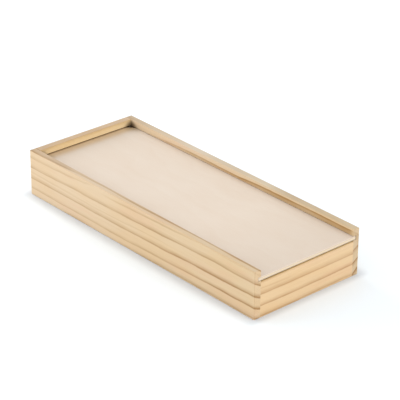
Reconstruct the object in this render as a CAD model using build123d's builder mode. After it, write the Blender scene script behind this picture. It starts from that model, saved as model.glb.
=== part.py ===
from build123d import *
import os

# A slide-lid storage box for domino tiles: four thin pine walls glued into a frame, a plywood
# bottom let into the frame from below, and a plywood lid that slides in grooves near the rim.
# All sizes are in millimetres. X runs along the box towards the end where the lid slides out,
# Y runs across it, Z is up, and the origin is the middle of the underside.

# Outside of the box
LENGTH = 190.0
WIDTH = 75.0
HEIGHT = 28.0

# Thickness of the stock
SIDE_THICKNESS = 4.2
END_THICKNESS = 4.6
LID_THICKNESS = 2.0
BOTTOM_THICKNESS = 2.2

# Grooves that the lid slides in
RIM_ABOVE_GROOVE = 3.9
GROOVE_DEPTH = 1.9
GAP_UNDER_LID = 0.1
GAP_OVER_LID = 0.2
GAP_AT_LID_EDGE = 0.2
GAP_OVER_FRONT_WALL = 0.9

# Rebate that holds the bottom panel
REBATE_DEPTH = 1.8
REBATE_CORNER_RADIUS = 3.0

# Sanded edges
OUTER_ROUNDING = 0.5
RIM_ROUNDING = 0.45
LID_ROUNDING = 0.25

# Corners of the lid
LID_FRONT_CORNER_RADIUS = 0.5
LID_BACK_CORNER_RADIUS = 12.0

# Inside of the frame
inner_length = LENGTH - 2 * END_THICKNESS
inner_width = WIDTH - 2 * SIDE_THICKNESS
groove_height = GAP_UNDER_LID + LID_THICKNESS + GAP_OVER_LID
groove_floor = HEIGHT - RIM_ABOVE_GROOVE - groove_height
lid_underside = groove_floor + GAP_UNDER_LID
front_wall_height = lid_underside - GAP_OVER_FRONT_WALL
lid_reach = GROOVE_DEPTH - GAP_AT_LID_EDGE

os.makedirs("parts", exist_ok=True)


# The bottom panel lies flush with the underside, with corners as round as the cutter that made
# the rebate, so every wall is cut back by this same outline.
with BuildPart() as bottom_panel:
    with BuildSketch():
        RectangleRounded(
            inner_length + 2 * REBATE_DEPTH,
            inner_width + 2 * REBATE_DEPTH,
            REBATE_CORNER_RADIUS,
        )
    extrude(amount=BOTTOM_THICKNESS)
bottom_panel.part.label = "bottom_panel"


# A side wall runs the whole length, so its end grain shows at both ends. Its groove runs right
# through, and the lid comes out of the front end of it.
with BuildPart() as right_wall:
    with BuildSketch(Plane.YZ.offset(-LENGTH / 2)):
        with Locations((-WIDTH / 2, 0)):
            Rectangle(SIDE_THICKNESS, HEIGHT, align=(Align.MIN, Align.MIN))
    extrude(amount=LENGTH)
    fillet(right_wall.edges().filter_by(Axis.Z).group_by(Axis.Y)[0], OUTER_ROUNDING)
    foot_edges = right_wall.faces().sort_by(Axis.Z)[0].edges()
    fillet(foot_edges.group_by(Axis.Y)[:-1], OUTER_ROUNDING)
    fillet(right_wall.faces().sort_by(Axis.Z)[-1].edges(), RIM_ROUNDING)
    with BuildSketch(Plane.YZ.offset(-LENGTH / 2)):
        with Locations((-inner_width / 2, groove_floor)):
            Rectangle(GROOVE_DEPTH, groove_height, align=(Align.MAX, Align.MIN))
    extrude(amount=LENGTH, mode=Mode.SUBTRACT)
    add(bottom_panel.part, mode=Mode.SUBTRACT)
right_wall.part.label = "right_wall"

with BuildPart() as left_wall:
    mirror(right_wall.part, about=Plane.XZ)
left_wall.part.label = "left_wall"


# The back wall is as high as the sides and stands between them. Its groove takes the lid's
# back edge.
with BuildPart() as back_wall:
    with BuildSketch(Plane.XZ.offset(-inner_width / 2)):
        with Locations((-LENGTH / 2, 0)):
            Rectangle(END_THICKNESS, HEIGHT, align=(Align.MIN, Align.MIN))
    extrude(amount=inner_width)
    lengthwise = back_wall.edges().filter_by(Axis.Y)
    fillet(lengthwise.group_by(Axis.Z)[0].sort_by(Axis.X)[0], OUTER_ROUNDING)
    fillet(back_wall.edges().filter_by(Axis.Y).group_by(Axis.Z)[-1], RIM_ROUNDING)
    with BuildSketch(Plane.XZ.offset(-inner_width / 2)):
        with Locations((-inner_length / 2, groove_floor)):
            Rectangle(GROOVE_DEPTH, groove_height, align=(Align.MAX, Align.MIN))
    extrude(amount=inner_width, mode=Mode.SUBTRACT)
    add(bottom_panel.part, mode=Mode.SUBTRACT)
back_wall.part.label = "back_wall"


# The front wall is lower, and the lid passes over it.
with BuildPart() as front_wall:
    with BuildSketch(Plane.XZ.offset(-inner_width / 2)):
        with Locations((LENGTH / 2, 0)):
            Rectangle(END_THICKNESS, front_wall_height, align=(Align.MAX, Align.MIN))
    extrude(amount=inner_width)
    lengthwise = front_wall.edges().filter_by(Axis.Y)
    fillet(lengthwise.group_by(Axis.Z)[0].sort_by(Axis.X)[-1], OUTER_ROUNDING)
    fillet(front_wall.edges().filter_by(Axis.Y).group_by(Axis.Z)[-1], RIM_ROUNDING)
    add(bottom_panel.part, mode=Mode.SUBTRACT)
front_wall.part.label = "front_wall"


# The lid ends flush with the front of the box and reaches into the grooves on the other sides.
# Its back corners are well rounded, to find the grooves, and leave a small hole in each corner
# of the box.
with BuildPart() as sliding_lid:
    with BuildSketch(Plane.XY.offset(lid_underside)) as lid_outline:
        with Locations((LENGTH / 2, 0)):
            Rectangle(
                LENGTH - END_THICKNESS + lid_reach,
                inner_width + 2 * lid_reach,
                align=(Align.MAX, Align.CENTER),
            )
        fillet(lid_outline.vertices().group_by(Axis.X)[-1], LID_FRONT_CORNER_RADIUS)
        fillet(lid_outline.vertices().group_by(Axis.X)[0], LID_BACK_CORNER_RADIUS)
    extrude(amount=LID_THICKNESS)
    fillet(sliding_lid.faces().filter_by(Axis.Z).edges(), LID_ROUNDING)
sliding_lid.part.label = "sliding_lid"


export_step(bottom_panel.part, "parts/bottom_panel.step")
export_step(right_wall.part, "parts/right_wall.step")
export_step(left_wall.part, "parts/left_wall.step")
export_step(back_wall.part, "parts/back_wall.step")
export_step(front_wall.part, "parts/front_wall.step")
export_step(sliding_lid.part, "parts/sliding_lid.step")
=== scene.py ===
import math

import bpy
from mathutils import Matrix, Vector


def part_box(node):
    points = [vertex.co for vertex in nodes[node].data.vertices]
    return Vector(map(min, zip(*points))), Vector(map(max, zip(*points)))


# A slide-lid wooden box on a white table. Places are in metres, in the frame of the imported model:
# X along the box towards the end where the lid slides out, Y across it, Z up, the table at 0.
# The materials are laid out in the same frame, in millimetres.

MM_PER_M = 1000.0

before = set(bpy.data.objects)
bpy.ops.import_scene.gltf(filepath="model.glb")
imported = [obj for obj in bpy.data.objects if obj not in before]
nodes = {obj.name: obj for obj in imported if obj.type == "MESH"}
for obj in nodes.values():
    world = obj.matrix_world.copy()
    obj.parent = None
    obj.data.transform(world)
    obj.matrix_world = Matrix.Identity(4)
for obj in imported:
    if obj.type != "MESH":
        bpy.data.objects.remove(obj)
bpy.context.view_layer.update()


def extent_mm(node, axis):
    low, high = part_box(node)
    return low[axis] * MM_PER_M, high[axis] * MM_PER_M


# Faces of the pieces that the materials are placed by
SIDE_REACH = extent_mm("right_wall", 0)[1]
END_REACH = extent_mm("front_wall", 1)[1]
SIDE_OUT = extent_mm("right_wall", 1)[0]
RIM = extent_mm("right_wall", 2)[1]
FRONT_OUT = extent_mm("front_wall", 0)[1]
BACK_IN = extent_mm("back_wall", 0)[1]
FAR_IN = extent_mm("left_wall", 1)[0]
LID_BACK = extent_mm("sliding_lid", 0)[0]
LID_SIDE = extent_mm("sliding_lid", 1)[1]
LID_LOW, LID_HIGH = extent_mm("sliding_lid", 2)
FLOOR_LOW, FLOOR_HIGH = extent_mm("bottom_panel", 2)

# What a noise texture gives: its middle, and the span that most of it lies in
NOISE_MIDDLE = 0.5
NOISE_SPAN = (0.3, 0.7)


class Tree:
    """The node tree of one new material, with short calls for the nodes that it is made of."""

    def __init__(self, name):
        self.material = bpy.data.materials.new(name)
        self.material.use_nodes = True
        self.tree = self.material.node_tree
        self.tree.nodes.clear()
        self.output = self.tree.nodes.new("ShaderNodeOutputMaterial")

    def put(self, socket, value):
        if isinstance(value, bpy.types.NodeSocket):
            self.tree.links.new(value, socket)
        else:
            socket.default_value = value

    def node(self, kind, inputs, **settings):
        made = self.tree.nodes.new(kind)
        for name, value in settings.items():
            setattr(made, name, value)
        for name, value in inputs.items():
            self.put(made.inputs[name], value)
        return made

    def math(self, operation, a, b=0.0, c=0.0):
        inputs = {0: a, 1: b, 2: c}
        return self.node("ShaderNodeMath", inputs, operation=operation).outputs[0]

    def clamped(self, value):
        return self.node("ShaderNodeClamp", {"Value": value}).outputs[0]

    def scaled(self, vector, factors):
        inputs = {0: vector, 1: factors}
        return self.node("ShaderNodeVectorMath", inputs, operation="MULTIPLY").outputs[0]

    def length(self, vector):
        return self.node("ShaderNodeVectorMath", {0: vector}, operation="LENGTH").outputs["Value"]

    def split(self, vector):
        return self.node("ShaderNodeSeparateXYZ", {0: vector}).outputs

    def joined(self, x, y, z):
        return self.node("ShaderNodeCombineXYZ", {0: x, 1: y, 2: z}).outputs[0]

    def noise(self, place, length, width, detail=2.0, roughness=0.5):
        """A noise with patches about length long in the place's X and width wide across it."""
        place = self.scaled(place, (1 / length, 1 / width, 1 / width))
        inputs = {"Vector": place, "Scale": 1.0, "Detail": detail, "Roughness": roughness}
        return self.node("ShaderNodeTexNoise", inputs).outputs["Fac"]

    def centred(self, noise, amount):
        """A noise turned into a change of up to about half of amount, either way."""
        return self.math("MULTIPLY", self.math("SUBTRACT", noise, NOISE_MIDDLE), amount)

    def ramp(self, value, low, high, to_low=0.0, to_high=1.0, kind="SMOOTHSTEP"):
        """Change from to_low to to_high as value goes from low to high, and level beyond them."""
        inputs = {"Value": value, "From Min": low, "From Max": high}
        inputs |= {"To Min": to_low, "To Max": to_high}
        return self.node("ShaderNodeMapRange", inputs, interpolation_type=kind).outputs["Result"]

    def fall(self, value, low, high):
        return self.ramp(value, low, high, 1.0, 0.0)

    def mixed(self, share, a, b, blend="MIX"):
        made = self.node("ShaderNodeMix", {}, data_type="RGBA", blend_type=blend)
        colours = [s for s in made.inputs if s.type == "RGBA"]
        self.put(made.inputs["Factor"], share)
        self.put(colours[0], a)
        self.put(colours[1], b)
        return next(s for s in made.outputs if s.type == "RGBA")

    def toned(self, share, colour, tone):
        """The colour, multiplied by the tone where share is 1."""
        return self.mixed(share, colour, self.mixed(1.0, colour, tone, "MULTIPLY"))

    def surface(self, colour, roughness, height, relief, specular):
        """The finished material. relief is how deep a height of 1 is, in metres."""
        bump = self.node("ShaderNodeBump", {"Strength": 1.0, "Distance": relief, "Height": height})
        inputs = {
            "Base Color": colour,
            "Roughness": roughness,
            "Specular IOR Level": specular,
            "Normal": bump.outputs["Normal"],
        }
        shader = self.node("ShaderNodeBsdfPrincipled", inputs)
        self.tree.links.new(shader.outputs[0], self.output.inputs["Surface"])
        return self.material


def srgb(red, green, blue):
    """A linear colour from the 0 to 255 values of a picture, by the sRGB curve."""
    shares = [c / 255 for c in (red, green, blue)]
    linear = [s / 12.92 if s <= 0.04045 else ((s + 0.055) / 1.055) ** 2.4 for s in shares]
    return (*linear, 1.0)


def place_mm(tree):
    """Where a point of the piece is, in millimetres, and which way its surface faces."""
    coords = tree.node("ShaderNodeTexCoord", {})
    return tree.scaled(coords.outputs["Object"], (MM_PER_M,) * 3), coords.outputs["Normal"]


# Ways that a face can look, each (axis, side), and how squarely it looks there: from where that
# starts to count up to where the face is flat
FACINGS = {"up": (2, 1.0), "rear": (0, -1.0), "front": (0, 1.0)}
FLAT_FACE = (0.8, 0.97)


def arris_share(tree, normal):
    """1 on the middle of a rounded edge, 0 on the flat faces."""
    sides = [tree.math("ABSOLUTE", side) for side in tree.split(normal)[:3]]
    most = tree.math("MAXIMUM", tree.math("MAXIMUM", sides[0], sides[1]), sides[2])
    return tree.fall(most, *FLAT_FACE)


def facing_share(tree, normal, facing):
    """1 on the flat faces that face the named way, else 0."""
    axis, side = FACINGS[facing]
    return tree.ramp(tree.math("MULTIPLY", tree.split(normal)[axis], side), *FLAT_FACE)


def corner_distance(tree, axes, spread):
    """How far a point is from the nearer back corner of the box, where the lid's top meets it.

    spread multiplies each part of the way there, along the box, across it and up.
    """
    away = tree.joined(
        tree.math("SUBTRACT", axes[0], BACK_IN),
        tree.math("SUBTRACT", tree.math("ABSOLUTE", axes[1]), FAR_IN),
        tree.math("SUBTRACT", axes[2], LID_HIGH),
    )
    return tree.length(tree.scaled(away, spread))


# Painted shade in the groove, which reaches GROOVE_MARGIN past the lid and fades at the front end
PAINTED_SHADE_TONE = (0.13, 0.09, 0.05, 1.0)
GROOVE_SHADE_BLUR = 0.04
GROOVE_MARGIN = 0.25
FADE_LENGTH = 5.0
FRONT_GROOVE_SHADE = 0.2
BEHIND_BOX = -2 * SIDE_REACH

# Painted shade on the inner faces at the back corners: full up to one distance from the corner,
# none past another, and running out over the rims
WALL_CORNER_SHADE = 0.85
SHADED_WALL_CORNER = (0.9, 4.6)
WALL_CORNER_SPREAD = (0.6, 0.75, 1.0)
SHADE_INTO_WALL = 0.6


def painted_shade_share(tree, axes, groove_back, lip):
    """1 where shade is painted into the groove for the lid and into the back corners above it, else
    0.

    groove_back is how far back the groove runs, and lip is how far the painted shade shows above
    it.
    The painted shade is fainter at the groove's front end.
    """
    aside = tree.math("ABSOLUTE", axes[1])
    limits = (
        (axes[0], groove_back, 1),
        (aside, LID_SIDE + GROOVE_MARGIN, -1),
        (axes[2], LID_LOW - GROOVE_MARGIN, 1),
        (axes[2], LID_HIGH + GROOVE_MARGIN + lip, -1),
    )
    groove = 1.0
    for value, limit, side in limits:
        past = tree.math("MULTIPLY", tree.math("SUBTRACT", value, limit), side)
        groove = tree.math("MULTIPLY", groove, tree.ramp(past, 0, GROOVE_SHADE_BLUR))
    fade = tree.ramp(axes[0], FRONT_OUT - FADE_LENGTH, FRONT_OUT, 1.0, FRONT_GROOVE_SHADE)
    groove = tree.math("MULTIPLY", groove, fade)

    distance = corner_distance(tree, axes, WALL_CORNER_SPREAD)
    corner = tree.ramp(distance, *SHADED_WALL_CORNER, WALL_CORNER_SHADE, 0.0)
    on_side = tree.fall(aside, FAR_IN, FAR_IN + SHADE_INTO_WALL)
    on_back = tree.ramp(axes[0], BACK_IN - SHADE_INTO_WALL, BACK_IN)
    corner = tree.math("MULTIPLY", corner, tree.math("MULTIPLY", on_side, on_back))
    return tree.math("MAXIMUM", groove, corner)


# A growth ring: the dark body that rises towards its edge, the thin line at the edge, and how
# sharply both end there
BODY_DARKNESS = 0.6
BODY_CURVE = 1.5
BODY_TOP = 0.1
LINE_DARKNESS = 0.4
LINE_WIDTH = 0.9
LINE_TOP = 0.2
EDGE_WIDTH = 0.35


def through(tree, along, stations):
    """A value that runs straight from station to station, each (place along the grain, value)."""
    value = stations[0][1]
    for (start, first), (end, last) in zip(stations, stations[1:]):
        step = tree.ramp(along, start, end, 0.0, last - first, kind="LINEAR")
        value = tree.math("ADD", value, step)
    return value


def ring_shade(tree, radius, wander, along, heart, rings):
    """How dark the growth rings make a point that is radius from the heart of the tree.

    Each ring darkens over its soft width up to its edge, has a thin darker line there, and ends
    sharply, where the next year's growth starts. It is (soft width, share of the wander that
    bends it, stations), and a station is (place along the grain, across, up, darkness), a point
    where the ring's edge shows.
    """
    shade = 0.0
    for soft, bent, stations in rings:
        edges = [(s[0], math.hypot(s[1] - heart[0], s[2] - heart[1])) for s in stations]
        here = tree.math("MULTIPLY_ADD", wander, bent, radius)
        depth = tree.math("SUBTRACT", here, through(tree, along, edges))
        rise = tree.math("POWER", tree.ramp(depth, -soft, -BODY_TOP * soft), BODY_CURVE)
        body = tree.math("MULTIPLY", rise, BODY_DARKNESS)
        line = tree.math("MULTIPLY", tree.ramp(depth, -LINE_WIDTH, -LINE_TOP), LINE_DARKNESS)
        end = tree.fall(depth, 0.0, EDGE_WIDTH)
        ring = tree.math("MULTIPLY", tree.math("ADD", body, line), end)
        darkness = through(tree, along, [(s[0], s[3]) for s in stations])
        shade = tree.math("MAXIMUM", shade, tree.math("MULTIPLY", ring, darkness))
    return shade


# How far the rings wander, each (length, width, amount), and how uneven their strength is
RING_WANDER = ((40.0, 26.0, 1.2), (12.0, 6.0, 0.6), (3.0, 0.8, 0.22))
RING_PATCHES = {"length": 22.0, "width": 9.0}
RING_STRENGTH = (0.8, 1.15)


def ring_pattern(tree, lie, along, across, up, rings):
    """How dark the growth rings about all the hearts make a point."""
    wander = 0.0
    for length, width, amount in RING_WANDER:
        wander = tree.math("ADD", wander, tree.centred(tree.noise(lie, length, width), amount))
    dark = 0.0
    for heart, family in rings.items():
        aside = tree.math("SUBTRACT", across, heart[0])
        above = tree.math("SUBTRACT", up, heart[1])
        radius = tree.length(tree.joined(aside, above, 0.0))
        dark = tree.math("MAXIMUM", dark, ring_shade(tree, radius, wander, along, heart, family))
    strength = tree.ramp(tree.noise(lie, **RING_PATCHES), *NOISE_SPAN, *RING_STRENGTH)
    return tree.math("MULTIPLY", dark, strength)


# Colours of pine. A tone multiplies a colour.
LATE_WOOD = (0.58, 0.46, 0.30, 1.0)
BROWN_LATE_WOOD = (0.56, 0.40, 0.20, 1.0)
WORN_TONE = (0.91, 0.87, 0.84, 1.0)
END_GRAIN_TONES = ((0.67, 0.65, 0.64, 1.0), (0.84, 0.83, 0.84, 1.0))
STAINS = (
    ({"length": 38.0, "width": 11.0}, (0.35, 0.65), (0.995, 0.965, 0.91, 1.0)),
    ({"length": 46.0, "width": 7.0}, (0.52, 0.66), (1.0, 0.965, 0.975, 1.0)),
)

# Textures of pine, and how much they darken it. The pores show on the end grain.
FIBRES = {"length": 9.0, "width": 0.22, "detail": 3.0, "roughness": 0.6}
THREADS = {"length": 34.0, "width": 0.8}
DUCTS = {"length": 3.4, "width": 0.3}
PORES = {"length": 2.0, "width": 0.16, "detail": 1.0}
DUCT_LIMITS = (0.70, 0.78)
FIBRE_AMOUNT = 0.22
THREAD_AMOUNT = 0.34
DUCT_AMOUNT = 0.14

# How squarely the grain is cut where it shows as end grain, and how strong its rings are
END_GRAIN = (0.35, 0.9)
END_GRAIN_STRENGTH = 1.35

# The roughness of pale and of dark pine, and how much the fibres change it. The relief, in
# metres, and the parts that the fibres and the rings have in it.
PINE_ROUGHNESS = (0.62, 0.5)
PINE_ROUGHNESS_AMOUNT = 0.12
PINE_RELIEF = 0.00006
FIBRE_HEIGHT = 0.7
RING_HEIGHT = 0.5
WOOD_SPECULAR = 0.3


def pine(name, grain, reach, rings, early, seed, painted_face_light, late=LATE_WOOD, lip=0.0):
    """Sanded pine with growth rings about lines that run along the grain.

    grain is 0 for wood that runs along X and 1 for wood that runs along Y, and reach is how far
    it runs either way. rings holds the rings that curve about each heart, which is a line's place
    across the grain and up. early has the colour of the pale wood at the low and high ends.
    The tints for what faces each way are painted light, which makes it lighter, darker or cooler
    for how light falls on it. lip is as for the painted shade in the groove. A groove runs right
    through wood that lies along X.
    """
    tree = Tree(name)
    place, normal = place_mm(tree)
    axes = tree.split(place)
    along, across, up = axes[grain], axes[1 - grain], axes[2]
    lie = tree.joined(tree.math("ADD", along, seed), across, up)
    cut = tree.ramp(tree.math("ABSOLUTE", tree.split(normal)[grain]), *END_GRAIN)

    dark = ring_pattern(tree, lie, along, across, up, rings)
    dark = tree.math("MULTIPLY", dark, tree.ramp(cut, 0.0, 1.0, 1.0, END_GRAIN_STRENGTH))
    fibres = tree.noise(lie, **FIBRES)
    threads = tree.centred(tree.noise(lie, **THREADS), THREAD_AMOUNT)
    streaks = tree.math("ADD", tree.centred(fibres, FIBRE_AMOUNT), threads)
    ducts = tree.ramp(tree.noise(lie, **DUCTS), *DUCT_LIMITS)
    dark = tree.math("ADD", dark, streaks)
    dark = tree.clamped(tree.math("ADD", dark, tree.math("MULTIPLY", ducts, DUCT_AMOUNT)))

    colour = tree.mixed(tree.ramp(along, -reach, reach), early[0], early[1])
    for texture, limits, tint in STAINS:
        colour = tree.toned(tree.ramp(tree.noise(lie, **texture), *limits), colour, tint)
    colour = tree.toned(dark, colour, late)
    pores = tree.ramp(tree.noise(lie, **PORES), *NOISE_SPAN)
    colour = tree.toned(cut, colour, tree.mixed(pores, *END_GRAIN_TONES))
    # Painted light: what faces up, to the front or to the rear is tinted for how the light falls on
    # it
    for facing, tone in painted_face_light.items():
        colour = tree.toned(facing_share(tree, normal, facing), colour, tone)
    colour = tree.toned(arris_share(tree, normal), colour, WORN_TONE)
    # Painted shade in the groove for the lid and in the back corners
    groove_back = LID_BACK - GROOVE_MARGIN if grain else BEHIND_BOX
    colour = tree.toned(painted_shade_share(tree, axes, groove_back, lip), colour, PAINTED_SHADE_TONE)

    roughness = tree.ramp(dark, 0.0, 1.0, *PINE_ROUGHNESS)
    roughness = tree.math("ADD", roughness, tree.centred(fibres, PINE_ROUGHNESS_AMOUNT))
    height = tree.math("MULTIPLY", fibres, FIBRE_HEIGHT)
    height = tree.math("ADD", height, tree.math("MULTIPLY", dark, RING_HEIGHT))
    return tree.surface(colour, roughness, height, PINE_RELIEF, WOOD_SPECULAR)


# Textures of plywood, and how much each of them deepens its tone. The figure is a row of soft
# bands across the grain, bent by a broad noise.
FIGURE_SPACING = 14
FIGURE_BENDS = {"length": 70, "width": 30}
FIGURE_BENT = 4.2
FIGURE_RISE = (0.2, 0.9)
FIGURE_FALL = (0.9, 1.0)
PATCHES = {"length": 34, "width": 18, "detail": 3.0}
PLY_FIBRES = {"length": 7, "width": 0.25, "detail": 3.0, "roughness": 0.6}
PLY_PORES = {"length": 1.6, "width": 0.14, "detail": 1.0}
FLECK_LIMITS = (0.66, 0.76)
BASE_TONE = 0.3
FIGURE_AMOUNT = 0.07
PATCH_AMOUNT = 0.4
PLY_FIBRE_AMOUNT = 0.4
FLECK_AMOUNT = 0.18

# Painted shade on the lid near the back corners of the box: full up to one distance from them, none
# past another
PLAIN = (1.0, 1.0, 1.0, 1.0)
SHADED_LID_CORNER = (3.0, 12.0)
LID_CORNER_SPREAD = (0.85, 1.4, 1.0)

# The sawn edges, and the middle ply as shares of the thickness, from the top
SAWN_EDGE = (0.25, 0.75)
SAWN_TONE = (0.73, 0.705, 0.67, 1.0)
CORE_START = (0.27, 0.33)
CORE_END = (0.67, 0.73)
GRIT = {"length": 0.2, "width": 0.2}
GRIT_TONE = 1.12

PLY_ROUGHNESS = 0.58
PLY_ROUGHNESS_AMOUNT = 0.16
PLY_RELIEF = 0.00003
FLECK_HEIGHT = 0.8


def plywood(name, pale, deep, core, top, thickness, seed, shades=(), corner_shade_tone=PLAIN):
    """Pale rotary-cut plywood: a soft figure on its faces, and three plies on its edges.

    shades are painted shade and reflection, each (from, to, tint): the wood goes from its own
    colour to one times the tint between these places along it. The last argument is painted shade
    near the back corners of the box, which multiplies the colour there.
    """
    tree = Tree(name)
    place, normal = place_mm(tree)
    axes = tree.split(place)
    along, across, up = axes[:3]
    lie = tree.joined(tree.math("ADD", along, seed), across, up)

    bends = tree.centred(tree.noise(lie, **FIGURE_BENDS), FIGURE_BENT)
    figure = tree.math("ADD", tree.math("MULTIPLY", across, 1 / FIGURE_SPACING), bends)
    figure = tree.math("FRACT", figure)
    rise, fall = tree.ramp(figure, *FIGURE_RISE), tree.fall(figure, *FIGURE_FALL)
    figure = tree.math("MULTIPLY", rise, fall)
    patches = tree.noise(lie, **PATCHES)
    fibres = tree.noise(lie, **PLY_FIBRES)
    flecks = tree.ramp(tree.noise(lie, **PLY_PORES), *FLECK_LIMITS)

    tone = tree.math("MULTIPLY", figure, FIGURE_AMOUNT)
    tone = tree.math("ADD", tone, tree.centred(patches, PATCH_AMOUNT))
    tone = tree.math("ADD", tone, tree.centred(fibres, PLY_FIBRE_AMOUNT))
    tone = tree.math("ADD", tone, tree.math("MULTIPLY", flecks, FLECK_AMOUNT))
    tone = tree.clamped(tree.math("ADD", tone, BASE_TONE))
    colour = tree.mixed(tone, pale, deep)
    # Painted shade and reflection, between the given places along the wood
    for start, end, tint in shades:
        low, high = sorted((start, end))
        share = tree.ramp(along, low, high, float(start > end), float(end > start))
        colour = tree.toned(share, colour, tint)
    # Painted shade near the back corners of the box
    share = tree.fall(corner_distance(tree, axes, LID_CORNER_SPREAD), *SHADED_LID_CORNER)
    colour = tree.toned(share, colour, corner_shade_tone)

    edge = tree.fall(tree.math("ABSOLUTE", tree.split(normal)[2]), *SAWN_EDGE)
    depth = tree.math("DIVIDE", tree.math("SUBTRACT", top, up), thickness)
    middle = tree.math("MULTIPLY", tree.ramp(depth, *CORE_START), tree.fall(depth, *CORE_END))
    grit = tree.ramp(tree.noise(lie, **GRIT), *NOISE_SPAN)
    ply = tree.mixed(grit, core, (*(c * GRIT_TONE for c in core[:3]), 1.0))
    sawn = tree.mixed(middle, tree.mixed(1.0, colour, SAWN_TONE, "MULTIPLY"), ply)
    colour = tree.mixed(edge, colour, sawn)

    roughness = tree.math("ADD", PLY_ROUGHNESS, tree.centred(fibres, PLY_ROUGHNESS_AMOUNT))
    height = tree.math("SUBTRACT", fibres, tree.math("MULTIPLY", flecks, FLECK_HEIGHT))
    return tree.surface(colour, roughness, height, PLY_RELIEF, WOOD_SPECULAR)


def dress(node, material):
    mesh = nodes[node].data
    mesh.materials.clear()
    mesh.materials.append(material)


# Growth rings, at the places where their edges show on the faces
dress(
    "right_wall",
    pine(
        "pine_right_wall",
        grain=0,
        reach=SIDE_REACH,
        rings={(-14.9, 57.6): [
            (5.0, 1.0, [(-92, -37.5, RIM, 1.0), (-68, -37.1, RIM, 0.85), (-56, -36.3, RIM, 0.4),
                        (-46, -35.6, RIM, 0.0)]),
            (1.0, 0.35, [(-66, -35.9, RIM, 0.0), (-52, -35.2, RIM, 0.4), (-24, -34.7, RIM, 0.5),
                         (1, -35.2, RIM, 0.75), (26, -34.6, RIM, 0.85), (51, -34.1, RIM, 0.6),
                         (76, -34.5, RIM, 0.85), (92, -34.6, RIM, 0.9)]),
            (2.0, 1.0, [(-86, SIDE_OUT, 23.5, 0.36), (-60, SIDE_OUT, 24.2, 0.32),
                        (-44, SIDE_OUT, 25.6, 0.22), (-34, SIDE_OUT, 27.0, 0.0)]),
            (1.6, 1.0, [(-30, SIDE_OUT, 24.6, 0.0), (-8, SIDE_OUT, 25.0, 0.5),
                        (26, SIDE_OUT, 26.0, 0.5), (50, SIDE_OUT, 27.2, 0.15)]),
            (3.0, 1.0, [(-90, SIDE_OUT, 17.3, 0.65), (-46, SIDE_OUT, 18.1, 0.5),
                        (-6, SIDE_OUT, 19.0, 0.65), (14, SIDE_OUT, 19.4, 0.95),
                        (34, SIDE_OUT, 20.1, 0.72), (64, SIDE_OUT, 21.2, 0.64),
                        (90, SIDE_OUT, 21.2, 0.75)]),
            (1.2, 1.0, [(-92, SIDE_OUT, 14.2, 0.2), (-36, SIDE_OUT, 13.7, 0.25),
                        (4, SIDE_OUT, 15.3, 0.25), (40, SIDE_OUT, 16.4, 0.0)]),
            (3.2, 1.0, [(-90, SIDE_OUT, 10.7, 0.56), (-16, SIDE_OUT, 10.9, 0.64),
                        (24, SIDE_OUT, 11.6, 0.86), (50, SIDE_OUT, 12.6, 0.95),
                        (66, SIDE_OUT, 12.7, 1.3), (90, SIDE_OUT, 13.5, 0.9)]),
            (2.4, 1.0, [(-90, SIDE_OUT, 4.4, 0.44), (-6, SIDE_OUT, 4.5, 0.46),
                        (34, SIDE_OUT, 5.6, 0.6), (54, SIDE_OUT, 6.1, 0.8),
                        (70, SIDE_OUT, 6.5, 1.25), (90, SIDE_OUT, 6.7, 1.0)]),
            (3.0, 1.0, [(-90, SIDE_OUT, -1.5, 0.2), (-56, SIDE_OUT, 0.3, 0.35),
                        (-30, SIDE_OUT, -0.6, 0.2), (20, SIDE_OUT, 0.8, 0.6),
                        (90, SIDE_OUT, 0.9, 0.75)]),
        ]},
        early=[srgb(207, 183, 152), srgb(204, 179, 143)],
        # Painted light: the top of the rim is a little darker and cooler
        painted_face_light={"up": (0.92, 0.955, 1.03, 1.0)},
        seed=3.0,
    ),
)
dress(
    "left_wall",
    pine(
        "pine_left_wall",
        grain=0,
        reach=SIDE_REACH,
        rings={
            (0.0, -22.0): [
                (8.0, 0.7, [(-80, FAR_IN, 24.4, 0.0), (-70, FAR_IN, 24.8, 0.3),
                            (-45, FAR_IN, 25.7, 0.6), (-20, FAR_IN, 26.0, 0.85),
                            (5, FAR_IN, 25.5, 1.0), (30, FAR_IN, 26.5, 1.15),
                            (55, FAR_IN, 26.8, 1.15), (92, FAR_IN, 26.9, 1.15),
                            (95, FAR_IN, 26.9, 0.3)]),
            ],
            (35.4, -222.0): [
                (1.5, 0.3, [(-95, 35.4, 28.6, 0.8), (-60, 35.4, 28.6, 0.3), (-30, 35.4, 28.6, 0.0),
                            (2, 35.4, 28.6, 0.45), (25, 35.4, 28.6, 0.1), (42, 35.4, 28.6, 0.9),
                            (62, 35.4, 28.6, 0.75), (95, 35.4, 28.6, 0.35)]),
            ],
            (57.5, -22.0): [
                (3.6, 1.0, [(-95, 36.0, 14.6, 0.5), (95, 36.0, 17.3, 0.6)]),
                (3.2, 1.0, [(-95, 36.0, 8.0, 0.5), (95, 36.0, 9.9, 0.75)]),
                (3.2, 1.0, [(-95, 36.0, 2.0, 0.5), (95, 36.0, 3.8, 1.0)]),
            ],
        },
        early=[srgb(209, 189, 161), srgb(206, 185, 151)],
        # Painted light: the top of the rim darker and cooler, and the end face at the front darker
        painted_face_light={"up": (0.893, 0.945, 1.045, 1.0), "front": (0.885, 0.88, 0.90, 1.0)},
        seed=41.0,
        late=BROWN_LATE_WOOD,
    ),
)
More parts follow.
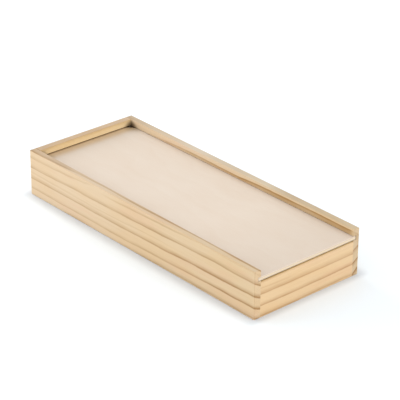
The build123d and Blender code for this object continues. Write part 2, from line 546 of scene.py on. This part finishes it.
dress(
    "back_wall",
    pine(
        "pine_back_wall",
        grain=1,
        reach=END_REACH,
        rings={(-96.0, -60.0): [
            (4.0, 1.0, [(-33, -93.0, 29.0, 0.9), (33, -93.0, 29.0, 0.9)]),
            (3.0, 1.0, [(-33, -95.0, 16.0, 0.6), (33, -95.0, 15.2, 0.7)]),
            (2.6, 1.0, [(-33, -95.0, 9.0, 0.6), (33, -95.0, 8.2, 0.7)]),
            (2.6, 1.0, [(-33, -95.0, 3.0, 0.6), (33, -95.0, 2.2, 0.7)]),
        ]},
        early=[srgb(205, 181, 140), srgb(205, 181, 140)],
        # Painted light: the top much cooler, and the outer face at the rear darker
        painted_face_light={"up": (1.0, 1.02, 1.27, 1.0), "rear": (0.74, 0.705, 0.76, 1.0)},
        lip=0.25,
        seed=77.0,
    ),
)
dress(
    "front_wall",
    pine(
        "pine_front_wall",
        grain=1,
        reach=END_REACH,
        rings={(80.0, 70.0): [
            (3.0, 1.0, [(-33, FRONT_OUT, 20.3, 0.3), (0, FRONT_OUT, 20.3, 0.15),
                        (33, FRONT_OUT, 20.3, 0.05)]),
            (1.6, 1.0, [(-33, FRONT_OUT, 17.0, 0.3), (-14, FRONT_OUT, 16.4, 0.3),
                        (-6, FRONT_OUT, 16.3, 0.0)]),
            (4.2, 1.0, [(-33, FRONT_OUT, 13.6, 0.8), (0, FRONT_OUT, 13.4, 0.76),
                        (33, FRONT_OUT, 13.7, 0.7)]),
            (3.0, 1.0, [(-33, FRONT_OUT, 7.0, 0.72), (0, FRONT_OUT, 6.8, 0.72),
                        (33, FRONT_OUT, 7.3, 0.75)]),
            (3.0, 1.0, [(-33, FRONT_OUT, 0.9, 0.65), (33, FRONT_OUT, 1.1, 0.65)]),
        ]},
        early=[srgb(188, 161, 125), srgb(188, 161, 125)],
        # Painted light: the top, in shade under the lid, lighter
        painted_face_light={"up": (1.3, 1.34, 1.12, 1.0)},
        seed=113.0,
    ),
)

# The lid has painted shade: browner towards the back wall, with a painted warm reflection of that
# wall, darker still right beside it, and duller towards the front
dress(
    "sliding_lid",
    plywood(
        "plywood_lid",
        pale=srgb(214, 202, 188),
        deep=srgb(203, 182, 161),
        core=srgb(186, 169, 142),
        top=LID_HIGH,
        thickness=LID_HIGH - LID_LOW,
        seed=11.0,
        shades=[
            (BACK_IN + 8.5, BACK_IN + 2.5, (0.87, 0.757, 0.575, 1.0)),
            (BACK_IN + 1.6, BACK_IN + 0.4, (0.78, 0.72, 0.64, 1.0)),
            (30, 95, (0.93, 0.925, 0.92, 1.0)),
        ],
        # Painted shade near the back corners of the box
        corner_shade_tone=(0.70, 0.67, 0.60, 1.0),
    ),
)
dress(
    "bottom_panel",
    plywood(
        "plywood_bottom",
        pale=srgb(196, 179, 153),
        deep=srgb(174, 148, 114),
        core=srgb(168, 138, 103),
        top=FLOOR_HIGH,
        thickness=FLOOR_HIGH - FLOOR_LOW,
        seed=59.0,
    ),
)


# The table. Its painted contact shadow is full up to one distance from the foot of the box and none
# past another.
TABLE_HALF = 3.0
TABLE_COLOURS = ((0.84, 0.895, 0.935, 1.0), (0.85, 0.905, 0.945, 1.0))
TABLE_CLOUDS = {"length": 180, "width": 180}
TABLE_ROUGHNESS = 0.65
TABLE_RELIEF = 0.00002
TABLE_SPECULAR = 0.2
FOOT_SHADOW_TONE = (0.78, 0.77, 0.78, 1.0)
FOOT_SHADE = (0.5, 8.0)
FOOT_SPREAD = (1.35, 1.0, 1.0)


def table_top(name):
    """Smooth cool white laminate, with a painted contact shadow close around the foot of the box.
    """
    tree = Tree(name)
    place, _ = place_mm(tree)
    clouds = tree.noise(place, **TABLE_CLOUDS)
    # Painted contact shadow around the foot of the box
    gaps = []
    for value, reach in zip(tree.split(place), (SIDE_REACH, -SIDE_OUT)):
        past = tree.math("SUBTRACT", tree.math("ABSOLUTE", value), reach)
        gaps.append(tree.math("MAXIMUM", past, 0.0))
    distance = tree.length(tree.scaled(tree.joined(*gaps, 0.0), FOOT_SPREAD))
    share = tree.fall(distance, *FOOT_SHADE)
    colour = tree.toned(share, tree.mixed(clouds, *TABLE_COLOURS), FOOT_SHADOW_TONE)
    return tree.surface(colour, TABLE_ROUGHNESS, clouds, TABLE_RELIEF, TABLE_SPECULAR)


def make_table():
    mesh = bpy.data.meshes.new("table_top")
    signs = [(-1, -1), (1, -1), (1, 1), (-1, 1)]
    corners = [(x * TABLE_HALF, y * TABLE_HALF, 0.0) for x, y in signs]
    mesh.from_pydata(corners, [], [(0, 1, 2, 3)])
    mesh.materials.append(table_top("white_table"))
    table = bpy.data.objects.new("table_top", mesh)
    bpy.context.scene.collection.objects.link(table)


make_table()


# The light: three low softboxes, and an even white room
SOFTBOX_SIZE = (0.7, 0.5)
SOFTBOX_DISTANCE = 1.2
SOFTBOX_ELEVATION = math.radians(14)
ROOM_COLOUR = (1.0, 1.0, 1.0, 1.0)
ROOM_LIGHT = 0.955


def around(azimuth, elevation, distance):
    """A place around the origin. Azimuth 0 is the near side, and a quarter turn the front end."""
    flat = distance * math.cos(elevation)
    up = distance * math.sin(elevation)
    return Vector((flat * math.sin(azimuth), -flat * math.cos(azimuth), up))


def softbox(name, azimuth, power):
    """A soft lamp that faces the origin, with its azimuth in degrees and its power in watts."""
    light = bpy.data.lights.new(name, "AREA")
    light.shape = "RECTANGLE"
    light.size, light.size_y = SOFTBOX_SIZE
    light.energy = power
    lamp = bpy.data.objects.new(name, light)
    bpy.context.scene.collection.objects.link(lamp)
    lamp.location = around(math.radians(azimuth), SOFTBOX_ELEVATION, SOFTBOX_DISTANCE)
    lamp.rotation_euler = (-lamp.location).to_track_quat("-Z", "Y").to_euler()


softbox("softbox_right", azimuth=90, power=9.5)
softbox("softbox_back", azimuth=270, power=8.6)
softbox("softbox_left", azimuth=315, power=4.9)

world = bpy.data.worlds.new("studio")
world.use_nodes = True
world.node_tree.nodes["Background"].inputs["Color"].default_value = ROOM_COLOUR
world.node_tree.nodes["Background"].inputs["Strength"].default_value = ROOM_LIGHT
bpy.context.scene.world = world
bpy.context.scene.view_settings.view_transform = "Standard"


# The camera. The lens and the sensor are in millimetres.
AZIMUTH = math.radians(48.71)
ELEVATION = math.radians(26.84)
ROLL = math.radians(0.325)
DISTANCE = 1.0305
TARGET = Vector((-0.0016, 0.01028, 0.0161))
LENS = 166.8
SENSOR = 36.0
CLIP_START = 0.05


def make_camera():
    back = around(AZIMUTH, ELEVATION, 1.0)
    lens = bpy.data.cameras.new("camera")
    lens.sensor_width = SENSOR
    lens.lens = LENS
    lens.clip_start = CLIP_START
    camera = bpy.data.objects.new("camera", lens)
    turn = (-back).to_track_quat("-Z", "Y").to_matrix() @ Matrix.Rotation(ROLL, 3, "Z")
    camera.matrix_world = Matrix.Translation(TARGET + back * DISTANCE) @ turn.to_4x4()
    bpy.context.scene.collection.objects.link(camera)
    bpy.context.scene.camera = camera


make_camera()
